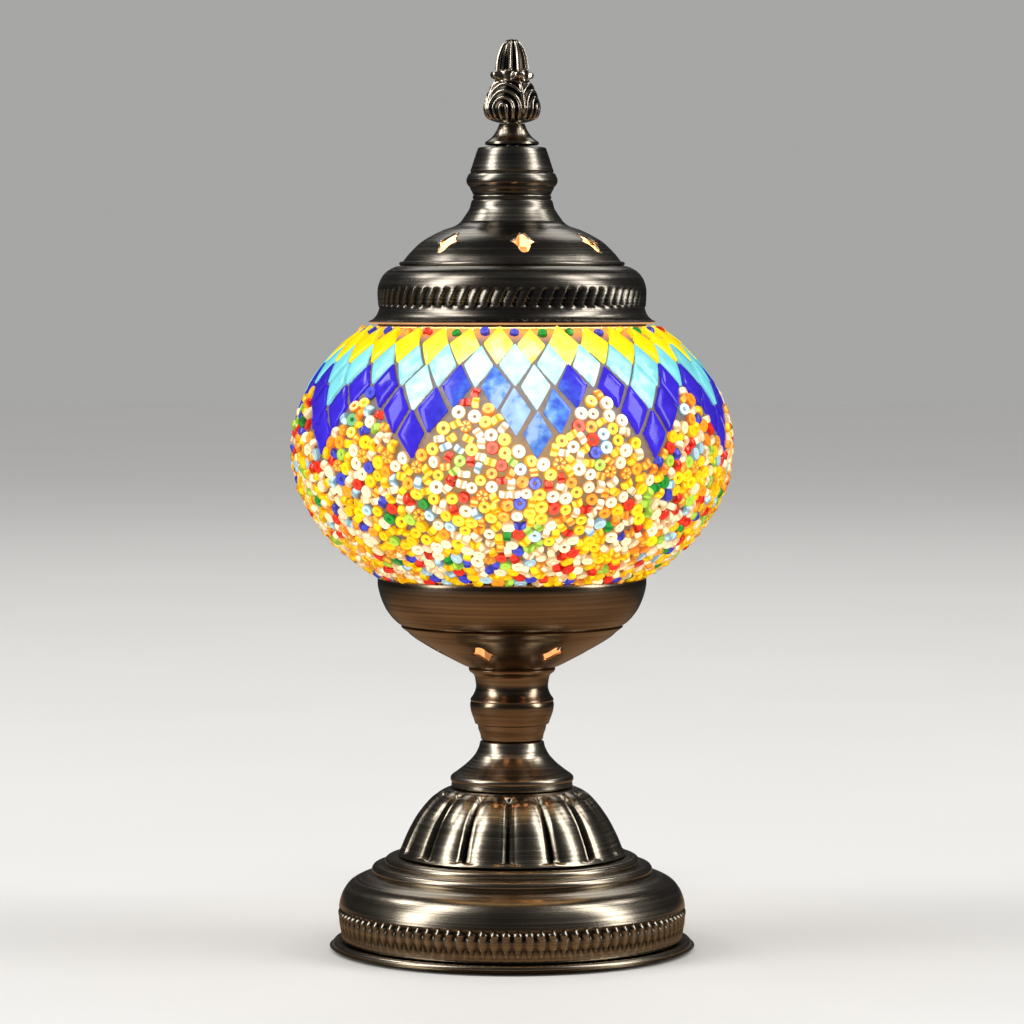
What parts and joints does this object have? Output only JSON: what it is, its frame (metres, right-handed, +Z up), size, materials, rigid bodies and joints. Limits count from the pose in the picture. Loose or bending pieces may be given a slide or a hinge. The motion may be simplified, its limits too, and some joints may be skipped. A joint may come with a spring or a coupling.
{
  "type": "table lamp",
  "caption": "Table lamp with a round glass mosaic globe held between a turned metal foot with a fluted dome and a vented metal cap with a finial.",
  "frame": {"origin": "centre of the felt pad's underside, on the lamp's axis", "axes": "+Z up along the lamp's axis, +Y to the rear, where the cord leaves, +X to the right seen from the front"},
  "size_m": [0.1305, 0.2188, 0.27],
  "materials": {
    "antique_bronze": "dark antique bronze on spun sheet, satin with fine turning lines",
    "cast_bronze": "dark antique bronze on a casting, worn bright on its high points",
    "zinc_steel": "zinc plated",
    "cast_iron": "as cast",
    "brass": "bright",
    "clear_glass": "clear",
    "yellow_glass": "translucent, glossy",
    "aqua_glass": "translucent, glossy",
    "blue_glass": "translucent, glossy",
    "bead_glass": "translucent beads in mixed colours, glossy",
    "rubber": "matt",
    "felt": "felt",
    "phenolic": "moulded, glossy",
    "ceramic": "glazed ceramic",
    "black_plastic": "moulded, satin"
  },
  "bodies": {
    "lamp": {"base_bowl": "antique_bronze", "base_nut": "zinc_steel", "base_plate": "antique_bronze", "base_washer": "zinc_steel", "base_weight": "cast_iron", "collar": "antique_bronze", "cord_grommet": "rubber", "cord_lamp_side": "black_plastic", "cord_plug_side": "black_plastic", "cup": "antique_bronze", "cup_nut": "zinc_steel", "cup_washer": "zinc_steel", "felt_pad": "felt", "fluted_dome": "antique_bronze", "globe_gasket": "rubber", "harp": "zinc_steel", "harp_nut": "zinc_steel", "harp_stud": "zinc_steel", "holder_body": "phenolic", "holder_core": "ceramic", "plug_blade_left": "brass", "plug_blade_right": "brass", "plug_body": "black_plastic", "rocker_pin": "zinc_steel", "screw_shell": "brass", "stem": "antique_bronze", "stud_nut_lower": "zinc_steel", "stud_nut_upper": "zinc_steel", "switch_lower": "black_plastic", "switch_screw_lamp": "zinc_steel", "switch_screw_plug": "zinc_steel", "switch_terminal_lamp": "brass", "switch_terminal_plug": "brass", "switch_upper": "black_plastic", "threaded_rod": "zinc_steel"},
    "globe": {"globe_glass": "clear_glass", "yellow_tiles": "yellow_glass", "aqua_tiles": "aqua_glass", "blue_tiles": "blue_glass", "bead_field": "bead_glass", "cap_gasket": "rubber"},
    "cap": {"cap_dome": "antique_bronze", "cap_barrel": "antique_bronze"},
    "finial_washer": {"finial_cone": "antique_bronze"},
    "finial_top": {"finial": "cast_bronze"},
    "bulb_foot": {"bulb_tip": "zinc_steel"},
    "bulb": {"bulb_envelope": "clear_glass", "bulb_cap": "brass", "bulb_insulator": "phenolic", "bulb_mount": "clear_glass", "bulb_filament": "zinc_steel"},
    "contact_spring": {"centre_contact": "brass"},
    "rocker": {"switch_rocker": "black_plastic"}
  },
  "joints": [
    {"name": "globe_lift", "type": "slide", "parent": "lamp", "child": "globe", "axis": [0, 0, 1], "range_m": [0, 0.145]},
    {"name": "cap_lift", "type": "slide", "parent": "globe", "child": "cap", "axis": [0, 0, 1], "range_m": [0, 0.07]},
    {"name": "finial_rise", "type": "slide", "parent": "cap", "child": "finial_washer", "axis": [0, 0, 1], "range_m": [0, 0.0065]},
    {"name": "finial_turn", "type": "hinge", "parent": "finial_washer", "child": "finial_top", "pos_m": [0, 0, 0.25], "axis": [0, 0, 1], "range_deg": [0, 2880]},
    {"name": "bulb_rise", "type": "slide", "parent": "lamp", "child": "bulb_foot", "axis": [0, 0, 1], "range_m": [0, 0.01]},
    {"name": "bulb_turn", "type": "hinge", "parent": "bulb_foot", "child": "bulb", "pos_m": [0, 0, 0.13], "axis": [0, 0, 1], "range_deg": [0, 1260]},
    {"name": "contact_press", "type": "slide", "parent": "lamp", "child": "contact_spring", "axis": [0, 0, 1], "range_m": [-0.0008, 0]},
    {"name": "switch_rocker_tilt", "type": "hinge", "parent": "lamp", "child": "rocker", "pos_m": [0, 0.086, 0.01405], "axis": [1, 0, 0], "range_deg": [0, 16]}
  ],
  "couplings": [
    {"joint": "finial_rise", "follows": "finial_turn", "m_per_rad": 0.00012732},
    {"joint": "bulb_rise", "follows": "bulb_turn", "m_per_rad": 0.00044882}
  ]
}
